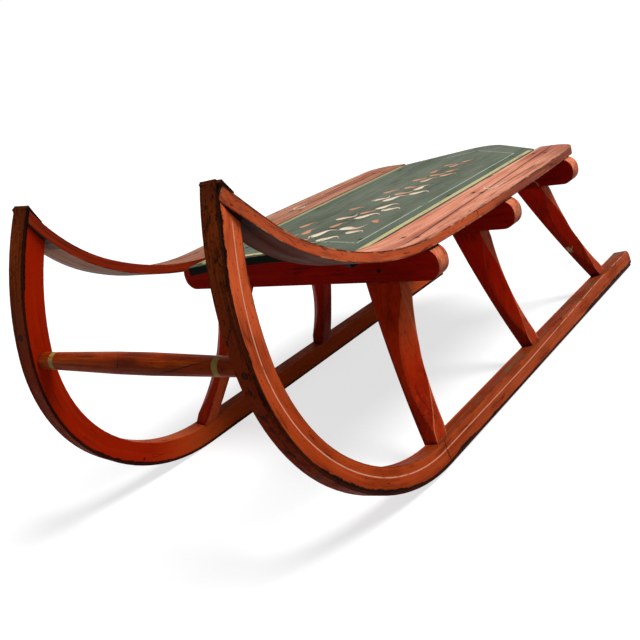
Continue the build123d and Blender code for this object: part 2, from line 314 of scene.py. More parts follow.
def makeRunnerPaint(finish):
    material, tree, shader = surface("runnerPaint", finish)
    place = placeNodes(tree)
    left = place["left"]
    path = put(tree, "ShaderNodeGroup", node_tree=runnerPath).outputs
    along, depth, across = path["along"], path["depth"], path["across"]
    grain = vector(tree, along, across, depth)
    onOuter = span(tree, across, *finish["outerFrom"])
    onInner = span(tree, across, *finish["innerFrom"])
    onTop = span(tree, depth, *finish["topFrom"])
    colour = mixed(tree, span(tree, along, *finish["rearFade"]), finish["outer"], finish["rear"])
    colour = mixed(tree, span(tree, along, *finish["tipFade"]), colour, finish["tip"])
    # towards the rear the inner side is painted lighter: painted light where the deck shades it
    inner = mixed(tree, span(tree, along, *finish["innerFade"]), finish["inner"], finish["innerRearLit"])
    colour = mixed(tree, span(tree, across, 0.004, 0.001), colour, inner)
    # the right runner's top is painted lighter than the left one's: painted light where the deck shades it
    colour = mixed(tree, onTop, colour, mixed(tree, left, finish["topRight"], finish["top"]))
    paint = oldPaint(tree, grain, colour, finish)
    # darker towards the sole; the inner side has kept its paint better, and is painted lighter towards the rear as
    # painted light where the deck shades it
    low = product(tree, span(tree, depth, 0.014, 0.004, 0.0, 0.4), near(tree, along, 0.08, 0.16), onOuter)
    paint["colour"] = mixed(tree, low, paint["colour"], finish["deep"])
    colour = mixed(tree, product(tree, onInner, 0.6), paint["colour"], inner)
    # bare patches on the left runner's straight part, most of them on top
    patch = cloud(tree, grain, (26.0, 60.0, 90.0), 5.0, 0.65, 14.2)
    patch = product(tree, span(tree, patch, 0.53, 0.60), span(tree, along, -0.01, -0.05, 0.0, 0.7), left)
    upper = product(tree, onOuter, span(tree, depth, 0.015, 0.023, 0.0, 0.8), span(tree, along, -0.50, -0.40))
    colour = mixed(tree, product(tree, patch, most(tree, onTop, upper)), colour, finish["worn"])
    # the striper's line on the outer side wanders, and is rubbed through most at the rear
    level = jagged(tree, depth, cloud(tree, grain, (9.0, 9.0, 9.0), 2.0, 0.5, 2.2), finish["stripeWander"])
    level = minus(tree, level, span(tree, along, -0.16, -0.56, 0.0, finish["stripeRise"]))
    level = number(tree, "ADD", level, product(tree, near(tree, along, 0.33, 0.07, 0.9), finish["stripeBow"]))
    line = near(tree, level, finish["stripeDepth"], finish["stripeWidth"] / 2)
    limit = span(tree, along, -0.25, -0.40, 0.66, 0.60)
    rubbed = cloud(tree, grain, (55.0, 300.0, 300.0), 3.0, 0.6, 9.4)
    rubbed = span(tree, rubbed, limit, minus(tree, limit, 0.1))
    ended = span(tree, along, finish["stripeEnd"], finish["stripeEnd"] - 0.004)
    colour = mixed(tree, product(tree, line, rubbed, ended, onOuter), colour, finish["stripe"])
    # a split across the outer side where the bend begins
    jag = cloud(tree, grain, (60.0, 90.0, 160.0), 4.0, 0.7, 6.6)
    split = near(tree, jagged(tree, along, jag, 0.014), finish["crack"], 0.0007, 0.6)
    split = product(tree, split, onOuter, left)
    colour = mixed(tree, product(tree, split, 0.85), colour, finish["dirt"])
    # an old nail hole low in the right runner's inner side
    away = apart(tree, vector(tree, along, depth, 0.0), finish["hole"] + (0.0,))
    hole = span(tree, away, finish["holeRadius"] * 1.3, finish["holeRadius"] * 0.7)
    hole = product(tree, hole, onInner, minus(tree, 1.0, left))
    colour = mixed(tree, hole, colour, finish["dirt"])
    # black seam along the iron, chipped on the outer side, and the joint under the rail
    chipped = span(tree, across, 0.006, 0.012, finish["seamInner"], finish["seamOuter"])
    uneven = span(tree, cloud(tree, grain, (5.0, 5.0, 5.0), 2.0, 0.5, 4.4), 0.38, 0.58, 0.25, 1.3)
    chipped = product(tree, chipped, uneven)
    seam = minus(tree, depth, product(tree, paint["ragged"], chipped))
    seam = span(tree, seam, finish["seam"] + 0.0006, finish["seam"] - 0.0006)
    colour = mixed(tree, seam, colour, finish["dirt"])
    below = minus(tree, railUnder(tree, place, railShape), place["z"])
    colour = mixed(tree, span(tree, below, finish["joint"] * 1.3, finish["joint"] * 0.7), colour, finish["dirt"])
    height = minus(tree, paint["height"], split)
    wire(tree, shader, finish, colour, paint["rough"], height)
    return material


ironFinish = {
    "gloss": 0.03, "ease": 0.0008, "relief": 0.0006,
    "iron": seen(126, 48, 14), "low": seen(128, 34, 2), "rust": seen(146, 62, 18), "dark": seen(20, 7, 2),
    "pale": seen(146, 86, 50),
    "edge": 0.0016, "edgeFull": 0.80, "lapFrom": 0.0029, "tipFrom": 0.45,
    "ring": 0.0027, "ringWidth": 0.0014,
}


def bowAlong(angle):
    # how far along the runner's path an angle round the bow is
    return bowLength + radians(angle) * (bowRadius if angle < 0 else runnerShape["tipRadius"])


def makeShoeIron(finish):
    material, tree, shader = surface("shoeIron", finish)
    path = put(tree, "ShaderNodeGroup", node_tree=runnerPath).outputs
    grain = vector(tree, path["along"], path["across"], path["depth"])
    blotch = cloud(tree, grain, (24.0, 52.0, 52.0), 5.0, 0.68, 4.0)
    spots = cloud(tree, grain, (90.0, 130.0, 130.0), 4.0, 0.62, 15.0)
    pits = cloud(tree, grain, (240.0, 300.0, 300.0), 4.0, 0.6, 8.0)
    drag = cloud(tree, grain, (12.0, 360.0, 360.0), 3.0, 0.6, 1.0)
    place = placeNodes(tree)
    # the left shoe is the blacker of the two
    black = either(tree, place["left"], 0.35, 1.0)
    colour = mixed(tree, span(tree, blotch, 0.35, 0.62, 0.0, 0.8), finish["iron"], finish["rust"])
    colour = mixed(tree, span(tree, path["along"], 0.42, 0.30, 0.0, 0.75), colour, finish["low"])
    colour = mixed(tree, span(tree, drag, 0.48, 0.70, 0.0, 0.6), colour, finish["dark"])
    colour = mixed(tree, span(tree, pits, 0.56, 0.66, 0.0, 0.7), colour, finish["dark"])
    colour = mixed(tree, product(tree, span(tree, spots, 0.56, 0.64, 0.0, 0.8), black), colour, finish["dark"])
    colour = mixed(tree, product(tree, span(tree, blotch, 0.52, 0.68, 0.0, 0.85), black), colour, finish["dark"])
    edge = edgeLine(tree, finish["edge"], finish["edgeFull"])
    colour = mixed(tree, product(tree, edge, span(tree, pits, 0.48, 0.38), 0.4), colour, finish["pale"])
    colour = mixed(tree, product(tree, edge, span(tree, pits, 0.44, 0.54), 0.9), colour, finish["dark"])
    # the end folded over the tip is nearly black
    lapTop = span(tree, path["depth"], finish["lapFrom"], finish["lapFrom"] + 0.0005, 0.0, 0.9)
    colour = mixed(tree, lapTop, colour, finish["dark"])
    # so are its narrow sides, its top and the hollows round the screws
    sideFace = span(tree, number(tree, "ABSOLUTE", place["facingY"]), 0.5, 0.8, 0.0, 0.85)
    colour = mixed(tree, sideFace, colour, finish["dark"])
    top = span(tree, path["along"], finish["tipFrom"], finish["tipFrom"] + 0.04, 0.0, 0.55)
    colour = mixed(tree, top, colour, finish["dark"])
    flat = vector(tree, path["along"], path["across"], 0.0)
    for leftAngle, rightAngle in zip(screwAngles["left"], screwAngles["right"]):
        spot = either(tree, place["left"], bowAlong(rightAngle), bowAlong(leftAngle))
        centre = vector(tree, spot, runnerShape["width"] / 2, 0.0)
        ring = near(tree, apart(tree, flat, centre), finish["ring"], finish["ringWidth"] / 2, 0.5)
        colour = mixed(tree, product(tree, ring, 0.9), colour, finish["dark"])
    wire(tree, shader, finish, colour, span(tree, blotch, 0.3, 0.7, 0.5, 0.8), pits)
    return material


railFinish = {
    "gloss": 0.05, "smooth": 0.5, "dull": 0.7, "ease": 0.0012, "relief": 0.0008,
    "top": seen(224, 144, 113), "topRear": seen(168, 94, 68), "topRight": seen(160, 104, 74),
    "rightShade": seen(92, 50, 32),
    "side": seen(222, 96, 50), "sideRear": seen(134, 58, 36), "sideFaded": seen(218, 112, 68),
    "inner": seen(144, 36, 4), "innerDark": seen(66, 18, 6),
    "underLeft": seen(86, 32, 10), "underRight": seen(140, 98, 82), "underTipLit": seen(202, 152, 130),
    "deep": seen(158, 74, 52), "faded": seen(244, 188, 160), "rubbed": seen(206, 150, 112),
    "wood": seen(186, 150, 106), "dirt": seen(32, 17, 12), "darkLine": seen(84, 50, 48), "flake": seen(116, 94, 70),
    "lines": (2.6, 170.0, 170.0), "blotches": (14.0, 60.0, 60.0), "specks": (150.0, 400.0, 400.0),
    "chips": (60.0, 220.0, 220.0), "checks": (2.2, 90.0, 90.0),
    "lineAmount": 0.80, "blotchAmount": 0.28, "speckAmount": 0.50, "fleckAmount": 0.40, "checkAmount": 0.60,
    "rubAmount": 0.42, "grimeAmount": 0.95, "grimeTo": 0.60, "chipAmount": 0.9,
    "grimeShadeAmount": 0.9, "grimeShadeReach": 0.010, "edge": 0.0036, "edgeFull": 0.91, "rimReach": 0.0030, "rimFull": 0.93,
    "ruled": 0.1452, "ruledSlope": 0.05, "ruledWidth": 0.0030, "crack": 0.0595,
    "rearFade": (-0.16, -0.25), "sideFade": (0.10, -0.10), "rightShadeFade": (0.06, 0.17), "tipFade": (0.30, 0.37),
    "flakeRim": (0.158, 0.171), "flakeEnd": (0.20, 0.12), "wornRim": (0.150, 0.160), "wornEnd": (0.12, 0.04),
}


def makeRailPaint(finish, shape):
    material, tree, shader = surface("railPaint", finish)
    place = placeNodes(tree)
    grain = vector(tree, place["x"], place["y"], minus(tree, place["z"], railUnder(tree, place, shape)))
    isSide = span(tree, number(tree, "ABSOLUTE", place["facingY"]), 0.5, 0.8)
    isInner = product(tree, isSide, span(tree, place["aside"], shape["inner"] + 0.002, shape["inner"] + 0.001))
    isUnder = span(tree, place["facingZ"], -0.05, -0.3)
    isTop = product(tree, minus(tree, 1.0, isSide), minus(tree, 1.0, isUnder))
    isRight = minus(tree, 1.0, place["left"])
    colour = mixed(tree, span(tree, place["x"], *finish["rearFade"]), finish["top"], finish["topRear"])
    colour = mixed(tree, isRight, colour, finish["topRight"])
    side = mixed(tree, span(tree, place["x"], *finish["sideFade"]), finish["side"], finish["sideRear"])
    colour = mixed(tree, isSide, colour, side)
    colour = mixed(tree, isInner, colour, finish["inner"])
    faded = mixed(tree, isSide, finish["faded"], finish["sideFaded"])
    paint = oldPaint(tree, grain, colour, dict(finish, faded=faded))
    # the inner side has kept its paint; the front of the right rail's top has painted shade; the underside is bare
    streaks = span(tree, cloud(tree, grain, (16.0, 90.0, 190.0), 5.0, 0.65, 25.4), 0.50, 0.66, 0.0, 0.75)
    kept = mixed(tree, streaks, finish["inner"], finish["innerDark"])
    colour = mixed(tree, product(tree, isInner, 0.8), paint["colour"], kept)
    # painted shade over the front of the right rail's top
    dull = product(tree, isRight, isTop, span(tree, place["x"], *finish["rightShadeFade"], 0.0, 0.4))
    colour = mixed(tree, dull, colour, finish["rightShade"])
    # the right rail's bare underside is painted lighter towards the tip: painted light where it lies in shade
    bare = mixed(tree, span(tree, place["x"], *finish["tipFade"]), finish["underRight"], finish["underTipLit"])
    bare = mixed(tree, isRight, finish["underLeft"], bare)
    bare = mixed(tree, span(tree, paint["lines"], 0.48, 0.7, 0.0, 0.7), bare, finish["dirt"])
    colour = mixed(tree, isUnder, colour, bare)
    # one dark line ruled along the top
    ruled = minus(tree, place["aside"], product(tree, place["x"], finish["ruledSlope"]))
    ruled = near(tree, ruled, finish["ruled"], finish["ruledWidth"] / 2, 0.5)
    ruled = product(tree, ruled, span(tree, paint["blotch"], 0.34, 0.5, 0.45, 0.9), isTop)
    colour = mixed(tree, ruled, colour, finish["darkLine"])
    # paint lost in flakes along the outer edge of the top
    flaked = cloud(tree, grain, (45.0, 130.0, 130.0), 5.0, 0.65, 17.0)
    flaked = product(tree, span(tree, flaked, 0.58, 0.63), span(tree, place["aside"], *finish["flakeRim"]))
    flaked = product(tree, flaked, isTop, span(tree, place["x"], *finish["flakeEnd"]))
    colour = mixed(tree, product(tree, flaked, 0.85), colour, finish["flake"])
    # and rubbed to pale wood along that rim
    patchy = span(tree, cloud(tree, grain, (22.0, 70.0, 70.0), 4.0, 0.6, 21.3), 0.46, 0.54)
    worn = product(tree, edgeLine(tree, finish["rimReach"], finish["rimFull"]), patchy)
    worn = product(tree, worn, span(tree, place["aside"], *finish["wornRim"]))
    worn = product(tree, worn, span(tree, place["x"], *finish["wornEnd"], 0.0, 0.8))
    colour = mixed(tree, product(tree, worn, span(tree, place["facingZ"], -0.2, 0.1)), colour, finish["wood"])
    # a split in the left rail's side
    jag = cloud(tree, grain, (70.0, 70.0, 200.0), 3.0, 0.7, 3.6)
    split = near(tree, jagged(tree, place["x"], jag, 0.006), finish["crack"], 0.0006, 0.6)
    split = product(tree, split, isSide, place["left"])
    colour = mixed(tree, product(tree, split, 0.85), colour, finish["dirt"])
    # black on the end under the iron, in the joint beside the board and round the nails
    tipEnd = span(tree, place["facingX"], 0.68, 0.76, 0.0, 0.9)
    colour = mixed(tree, tipEnd, colour, finish["dirt"])
    joint = product(tree, span(tree, place["aside"], shape["inner"] + 0.0020, shape["inner"] + 0.0010), isTop)
    joint = product(tree, joint, span(tree, paint["blotch"], 0.40, 0.52, 0.25, 0.95))
    colour = mixed(tree, joint, colour, finish["dirt"])
    stain = product(tree, nailStain(tree, place, nailPlaces["rail"]), isTop)
    colour = mixed(tree, stain, colour, finish["dirt"])
    height = minus(tree, paint["height"], most(tree, split, flaked))
    wire(tree, shader, finish, colour, paint["rough"], height)
    return material


boardFinish = {
    "gloss": 0.04, "smooth": 0.5, "dull": 0.68, "ease": 0.0010, "relief": 0.0006,
    "green": seen(95, 102, 86), "margin": seen(84, 96, 80), "end": seen(4, 9, 3),
    "deep": seen(70, 82, 68), "faded": seen(126, 130, 112),
    "rubbed": seen(126, 128, 108), "wood": seen(104, 94, 76), "dirt": seen(24, 30, 22),
    "lines": (6.0, 220.0, 220.0), "blotches": (9.0, 26.0, 26.0), "specks": (250.0, 400.0, 400.0),
    "chips": (60.0, 240.0, 240.0), "checks": (3.0, 60.0, 60.0),
    "lineAmount": 0.40, "blotchAmount": 0.35, "speckAmount": 0.50, "fleckAmount": 0.75, "checkAmount": 0.45,
    "rubAmount": 0.35, "grimeAmount": 0.7, "grimeTo": 0.47, "chipAmount": 0.6,
    "grimeShadeAmount": 0.85, "grimeShadeReach": 0.008, "edge": 0.0020, "edgeFull": 0.80, "marginFrom": 0.0845,
}


def boardGreen(tree, finish):
    place = placeNodes(tree)
    margin = span(tree, place["aside"], finish["marginFrom"] - 0.001, finish["marginFrom"] + 0.001)
    colour = mixed(tree, margin, finish["green"], finish["margin"])
    paint = oldPaint(tree, place["spot"], colour, finish)
    stain = nailStain(tree, place, nailPlaces["board"])
    paint["colour"] = mixed(tree, stain, paint["colour"], finish["dirt"])
    isEnd = span(tree, place["facingZ"], 0.5, 0.1, 0.0, 0.95)
    paint["colour"] = mixed(tree, isEnd, paint["colour"], finish["end"])
    return paint


def makeBoardPaint(finish):
    material, tree, shader = surface("boardPaint", finish)
    paint = boardGreen(tree, finish)
    wire(tree, shader, finish, paint["colour"], paint["rough"], paint["height"])
    return material


def railRed(tree, finish):
    return oldPaint(tree, placeNodes(tree)["spot"], finish["top"], finish)


ornamentFinish = {"cream": seen(240, 226, 200), "salmon": seen(204, 142, 112), "border": seen(198, 186, 134),
                  "stripe": seen(196, 204, 182), "wear": (60.0, 300.0, 300.0)}


def makeBrushPaint(name, finish, under, layUnder):
    # brush strokes and stripes over older paint, thin enough to be rubbed through
    material, tree, shader = surface(name, under)
    paint = layUnder(tree, under)
    place = placeNodes(tree)
    tone = put(tree, "ShaderNodeAttribute", attribute_name="tone").outputs["Fac"]
    kind = put(tree, "ShaderNodeAttribute", attribute_name="kind").outputs["Fac"]
    isBorder, isStripe = near(tree, kind, 1.0, 0.3), near(tree, kind, 2.0, 0.3)
    colour = mixed(tree, span(tree, tone, 0.1, 0.9), finish["cream"], finish["salmon"])
    colour = mixed(tree, isBorder, colour, finish["border"])
    colour = mixed(tree, isStripe, colour, finish["stripe"])
    wear = span(tree, cloud(tree, place["spot"], finish["wear"], 4.0, 0.62, 6.1), 0.57, 0.68, 0.0, 0.85)
    # the right-hand stripe is nearly gone, the right-hand border faded
    rightStripe = product(tree, span(tree, place["y"], -0.03, -0.06), isStripe, 0.8)
    rightBorder = product(tree, span(tree, place["y"], -0.05, -0.09), isBorder, 0.5)
    wear = most(tree, wear, rightStripe, rightBorder)
    colour = mixed(tree, wear, colour, paint["colour"])
    wire(tree, shader, under, colour, paint["rough"], paint["height"])
    return material


beamFinish = {
    "gloss": 0.03, "smooth": 0.45, "dull": 0.62, "ease": 0.0040, "relief": 0.0008,
    "red": seen(178, 20, 0), "end": seen(240, 140, 100), "endLow": seen(172, 66, 30), "endGrey": seen(138, 112, 84),
    "deep": seen(116, 8, 0), "faded": seen(186, 50, 8), "rubbed": seen(190, 92, 52), "wood": seen(122, 94, 68),
    "dirt": seen(24, 6, 3),
    "lines": (180.0, 8.0, 200.0), "blotches": (40.0, 10.0, 40.0), "specks": (380.0, 200.0, 380.0),
    "chips": (200.0, 80.0, 200.0), "checks": (70.0, 4.0, 70.0),
    "lineAmount": 0.3, "blotchAmount": 0.5, "speckAmount": 0.45, "fleckAmount": 0.3, "checkAmount": 0.5,
    "rubAmount": 0.5, "grimeAmount": 0.7, "grimeTo": 0.47, "chipAmount": 0.7,
    "grimeShadeAmount": 0.9, "grimeShadeReach": 0.012, "edge": 0.0022, "edgeFull": 0.80,
    "endFrom": 0.1705, "hole": (0.167, 0.1057, 0.1978), "holeRadius": 0.0024,
    "loss": (0.0, 0.1205, 0.185), "lossRadius": 0.0077, "lossColour": seen(206, 146, 118),
    "creep": 0.020, "troddenFrom": (0.148, 0.158), "redFade": (0.206, 0.192), "greyLevel": 0.203, "greyReach": 0.010,
}


def makeBeamPaint(finish):
    material, tree, shader = surface("beamPaint", finish)
    place = placeNodes(tree)
    # the ends are rubbed to salmon and grey, on top as well, and stay redder low down
    rings = cloud(tree, place["spot"], (200.0, 60.0, 70.0), 4.0, 0.6, 2.4)
    patch = cloud(tree, place["spot"], (55.0, 55.0, 55.0), 4.0, 0.62, 18.9)
    creep = jagged(tree, place["aside"], patch, finish["creep"])
    creep = span(tree, creep, finish["endFrom"] + 0.004, finish["endFrom"] + 0.010)
    isFace = span(tree, number(tree, "ABSOLUTE", place["facingX"]), 0.5, 0.9)
    isEnd = span(tree, number(tree, "ABSOLUTE", place["facingY"]), 0.16, 0.40)
    trodden = span(tree, place["aside"], *finish["troddenFrom"], 0.0, 0.85)
    trodden = product(tree, span(tree, place["facingZ"], 0.35, 0.75), trodden)
    isEnd = most(tree, isEnd, product(tree, creep, minus(tree, 1.0, isFace)), trodden)
    end = mixed(tree, span(tree, rings, 0.45, 0.65, 0.0, 0.7), finish["end"], finish["faded"])
    end = mixed(tree, span(tree, place["z"], *finish["redFade"], 0.0, 0.75), end, finish["endLow"])
    grey = near(tree, place["z"], finish["greyLevel"], finish["greyReach"], 0.6)
    end = mixed(tree, product(tree, span(tree, patch, 0.50, 0.60), grey), end, finish["endGrey"])
    paint = oldPaint(tree, place["spot"], mixed(tree, isEnd, finish["red"], end), finish)
    # one empty nail hole in the front beam
    away = apart(tree, place["spot"], finish["hole"])
    hole = span(tree, away, finish["holeRadius"] * 1.2, finish["holeRadius"] * 0.8)
    colour = mixed(tree, hole, paint["colour"], finish["dirt"])
    # paint lost in an arc round the left leg's joint in the rear beam
    away = apart(tree, vector(tree, 0.0, place["y"], place["z"]), finish["loss"])
    loss = near(tree, jagged(tree, away, patch, 0.006), finish["lossRadius"], 0.0007, 0.5)
    loss = product(tree, loss, span(tree, place["y"], 0.1180, 0.1205), span(tree, place["x"], -0.21, -0.22))
    loss = product(tree, loss, span(tree, place["facingX"], 0.5, 0.8))
    colour = mixed(tree, product(tree, loss, 0.9), colour, finish["lossColour"])
    wire(tree, shader, finish, colour, paint["rough"], minus(tree, paint["height"], hole))
    return material


legFinish = {
    "gloss": 0.03, "smooth": 0.42, "dull": 0.6, "ease": 0.0060, "relief": 0.0006,
    "red": seen(202, 48, 1), "redRear": seen(214, 28, 0), "foot": seen(150, 32, 4), "outer": seen(180, 68, 26),
    "frontOuterHighlight": seen(222, 104, 58), "inside": seen(240, 96, 40), "ridgeHighlight": seen(232, 138, 90),
    "deep": seen(124, 18, 0), "faded": seen(192, 64, 10), "rubbed": seen(216, 116, 66), "wood": seen(128, 98, 70),
    "dirt": seen(24, 8, 3), "chipped": seen(232, 184, 124),
    "lines": (190.0, 190.0, 9.0), "blotches": (40.0, 40.0, 14.0), "specks": (380.0, 380.0, 200.0),
    "chips": (120.0, 120.0, 40.0), "checks": (70.0, 70.0, 5.0),
    "lineAmount": 0.34, "blotchAmount": 0.55, "speckAmount": 0.45, "fleckAmount": 0.30, "checkAmount": 0.4,
    "rubAmount": 0.80, "grimeAmount": 0.45, "grimeTo": 0.45, "chipAmount": 0.6,
    "grimeShadeAmount": 0.9, "grimeShadeReach": 0.012, "edge": 0.0020, "edgeFull": 0.80, "ridgeReach": 0.0042, "ridgeFull": 0.95,
    "chip": (-0.287, 0.138, 0.0775), "chipReach": 0.0062, "chipTorn": 0.016,
    "frontFrom": (0.10, 0.14), "redFade": (0.06, 0.12), "footFade": (0.16, 0.04), "lowFade": (0.10, 0.03),
    "rubFrom": (0.09, 0.16),
}


def makeLegPaint(finish):
    material, tree, shader = surface("legPaint", finish)
    place = placeNodes(tree)
    outwards = product(tree, place["facingY"], number(tree, "SIGN", place["y"]))
    colour = mixed(tree, span(tree, place["x"], *finish["redFade"]), finish["redRear"], finish["red"])
    # painted light and shade: the legs are lighter high up, where the beam shades them, and darker lower down
    colour = mixed(tree, span(tree, place["z"], *finish["footFade"]), colour, finish["foot"])
    colour = mixed(tree, span(tree, outwards, 0.68, 0.92), colour, finish["outer"])
    # the front legs are painted paler high up on the outside as a painted highlight, and the right one is painted
    # lighter on its inner faces as painted light
    isFront = span(tree, place["x"], *finish["frontFrom"])
    rubbed = product(tree, span(tree, outwards, 0.25, 0.6), isFront, 0.6)
    rubbed = product(tree, rubbed, span(tree, place["z"], *finish["rubFrom"]))
    colour = mixed(tree, rubbed, colour, finish["frontOuterHighlight"])
    # darker still near the ground: more painted shade
    colour = mixed(tree, span(tree, place["z"], *finish["lowFade"], 0.0, 0.6), colour, finish["foot"])
    # the right front leg's inner faces are painted lighter: painted light where the sled shades them
    litInsideMask = product(tree, span(tree, outwards, -0.25, -0.6), isFront, minus(tree, 1.0, place["left"]))
    colour = mixed(tree, litInsideMask, colour, finish["inside"])
    paint = oldPaint(tree, place["spot"], colour, finish)
    # a pale line along the outer ridges: a painted highlight, broken up like rubbed paint
    ridgeHighlight = product(tree, edgeLine(tree, finish["ridgeReach"], finish["ridgeFull"]), span(tree, outwards, 0.66, 0.86))
    ridgeHighlight = product(tree, ridgeHighlight, span(tree, paint["lines"], 0.62, 0.47, 0.2, 0.85))
    colour = mixed(tree, ridgeHighlight, paint["colour"], finish["ridgeHighlight"])
    # one chip down to the wood on the left rear leg
    torn = cloud(tree, place["spot"], (190.0, 190.0, 120.0), 4.0, 0.65, 11.7)
    away = jagged(tree, apart(tree, place["spot"], finish["chip"]), torn, finish["chipTorn"])
    chip = span(tree, away, finish["chipReach"], finish["chipReach"] * 0.72)
    bare = mixed(tree, span(tree, paint["lines"], 0.46, 0.64, 0.0, 0.7), finish["chipped"], finish["wood"])
    colour = mixed(tree, chip, colour, bare)
    wire(tree, shader, finish, colour, paint["rough"], minus(tree, paint["height"], chip))
    return material


barFinish = {
    "gloss": 0.04, "smooth": 0.38, "dull": 0.58, "ease": 0.0010, "relief": 0.0008,
    "paint": seen(150, 50, 4), "ring": seen(156, 130, 72),
    "deep": seen(82, 21, 2), "faded": seen(190, 98, 36), "rubbed": seen(160, 98, 56), "wood": seen(104, 78, 50),
    "dirt": seen(28, 11, 5),
    "lines": (200.0, 8.0, 200.0), "blotches": (60.0, 14.0, 60.0), "specks": (380.0, 160.0, 380.0),
    "chips": (200.0, 60.0, 200.0), "checks": (90.0, 6.0, 90.0),
    "lineAmount": 0.5, "blotchAmount": 0.50, "speckAmount": 0.6, "fleckAmount": 0.45, "checkAmount": 0.5,
    "rubAmount": 0.4, "grimeAmount": 0.5, "grimeTo": 0.47, "chipAmount": 0.5,
    "grimeShadeAmount": 0.8, "grimeShadeReach": 0.010, "edge": 0.0015, "edgeFull": 0.80,
    "rings": (0.104, -0.111), "ringWidth": 0.0066, "axis": (0.42535, 0.20139), "crack": -0.012,
    "handled": 0.002, "handledReach": 0.020, "checkTurn": -1.45, "checkTwist": 22.0, "checkEnd": (0.10, 0.085),
}


def makeBarPaint(finish):
    material, tree, shader = surface("barPaint", finish)
    place = placeNodes(tree)
    paint = oldPaint(tree, place["spot"], finish["paint"], finish)
    # dark with handling in the middle
    handled = near(tree, place["y"], finish["handled"], finish["handledReach"], 0.9)
    handled = product(tree, handled, span(tree, paint["blotch"], 0.40, 0.55, 0.3, 0.75))
    colour = mixed(tree, handled, paint["colour"], finish["deep"])
    rings = [near(tree, place["y"], spot, finish["ringWidth"] / 2, 0.15) for spot in finish["rings"]]
    ring = product(tree, most(tree, *rings), span(tree, paint["ragged"], 0.64, 0.54))
    colour = mixed(tree, ring, colour, finish["ring"])
    # a long drying check that runs round the bar as it goes along
    turn = number(tree, "ARCTAN2", minus(tree, place["z"], finish["axis"][1]),
                  minus(tree, place["x"], finish["axis"][0]))
    wander = number(tree, "MULTIPLY_ADD", paint["lines"], 0.25, product(tree, place["y"], finish["checkTwist"]))
    check = near(tree, minus(tree, turn, wander), finish["checkTurn"], 0.05, 0.6)
    check = product(tree, check, span(tree, place["aside"], *finish["checkEnd"]))
    # and one that goes round it
    jag = cloud(tree, place["spot"], (120.0, 60.0, 120.0), 4.0, 0.7, 9.9)
    around = near(tree, jagged(tree, place["y"], jag, 0.012), finish["crack"], 0.0007, 0.6)
    check = most(tree, check, product(tree, around, span(tree, paint["ragged"], 0.38, 0.48)))
    colour = mixed(tree, product(tree, check, 0.9), colour, finish["dirt"])
    wire(tree, shader, finish, colour, paint["rough"], minus(tree, paint["height"], check))
    return material


nailFinish = {"gloss": 0.06, "ease": 0.0003, "relief": 0.0003, "iron": seen(38, 18, 10), "rust": seen(96, 42, 20)}


def makeNailIron(finish):
    material, tree, shader = surface("nailIron", finish)
    spot = put(tree, "ShaderNodeTexCoord").outputs["Object"]
    blotch = cloud(tree, spot, (420.0, 420.0, 420.0), 3.0, 0.6, 5.0)
    colour = mixed(tree, span(tree, blotch, 0.50, 0.75), finish["iron"], finish["rust"])
    wire(tree, shader, finish, colour, span(tree, blotch, 0.3, 0.7, 0.55, 0.8), blotch)
    return material


finishes = {"runner": makeRunnerPaint(runnerFinish), "shoe": makeShoeIron(ironFinish),
            "rail": makeRailPaint(railFinish, railShape), "deck": makeBoardPaint(boardFinish),
            "beam": makeBeamPaint(beamFinish), "leg": makeLegPaint(legFinish), "front": makeBarPaint(barFinish)}
for name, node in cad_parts.items():
    node.data.materials.clear()
    node.data.materials.append(finishes[name.split("_")[0]])
brushPaint = makeBrushPaint("brushPaint", ornamentFinish, boardFinish, boardGreen)
curlPaint = makeBrushPaint("curlPaint", ornamentFinish, railFinish, railRed)
nailIron = makeNailIron(nailFinish)
print("finishes made:", len(finishes) + 3)


def keep(obj):
    bpy.context.scene.collection.objects.link(obj)
    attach(obj, "root")


def meshPiece(mesh, name, paint):
    bmesh.ops.recalc_face_normals(mesh, faces=mesh.faces)
    data = bpy.data.meshes.new(name)
    mesh.to_mesh(data)
    mesh.free()
    data.materials.append(paint)
    piece = bpy.data.objects.new(name, data)
    keep(piece)
    return piece


def skinRows(mesh, rows, closed=False):
    # faces along rows of four corners, with ends unless the last row meets the first
    count = len(rows)
    for i in range(count if closed else count - 1):
        first, second = rows[i], rows[(i + 1) % count]
        for side in range(4):
            nextSide = (side + 1) % 4
            mesh.faces.new((first[side], first[nextSide], second[nextSide], second[side]))
    if not closed:
        mesh.faces.new(rows[0])
        mesh.faces.new(rows[-1][::-1])


def arcPoints(centre, radius, start, end, count):
    turns = [start + (end - start) * i / (count - 1) for i in range(count)]
    return [Vector((centre[0] + radius * cos(a), centre[1] + radius * sin(a))) for a in turns]


# middle and half length of each beam
beamSet = {"places": {"Front": (0.156, 0.1775), "Middle": (-0.027, 0.1835), "Rear": (-0.243, 0.1790)},
           "halfThick": 0.011, "low": 0.185, "high": 0.2188, "endRound": 0.0158, "ease": 0.0014, "steps": 17}


def makeBeam(place, middle, half):
    # worn round at the ends, more than the plain CAD beam
    radius = beamSet["endRound"]
    high, low = beamSet["high"] - radius, beamSet["low"] + radius
    outline = []
    for side, level, turn in ((1, low, -pi / 2), (1, high, 0.0), (-1, high, pi / 2), (-1, low, pi)):
        outline += arcPoints((side * (half - radius), level), radius, turn, turn + pi / 2, beamSet["steps"])
    mesh = bmesh.new()
    front, back = [[mesh.verts.new((middle + offset, *spot)) for spot in outline]
                   for offset in (beamSet["halfThick"], -beamSet["halfThick"])]
    faces = [mesh.faces.new(front), mesh.faces.new(back[::-1])]
    for i in range(len(outline)):
        mesh.faces.new((front[i - 1], back[i - 1], back[i], front[i]))
    rim = [edge for face in faces for edge in face.edges]
    bmesh.ops.bevel(mesh, geom=rim, offset=beamSet["ease"], segments=2, profile=0.5, affect="EDGES")
    beam = meshPiece(mesh, "beam" + place, finishes["beam"])
    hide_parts("beam_" + place.lower())


filmSet = {"rise": 0.00012, "sunk": 0.00025, "twoTone": 0.30}
railTop = 0.2290


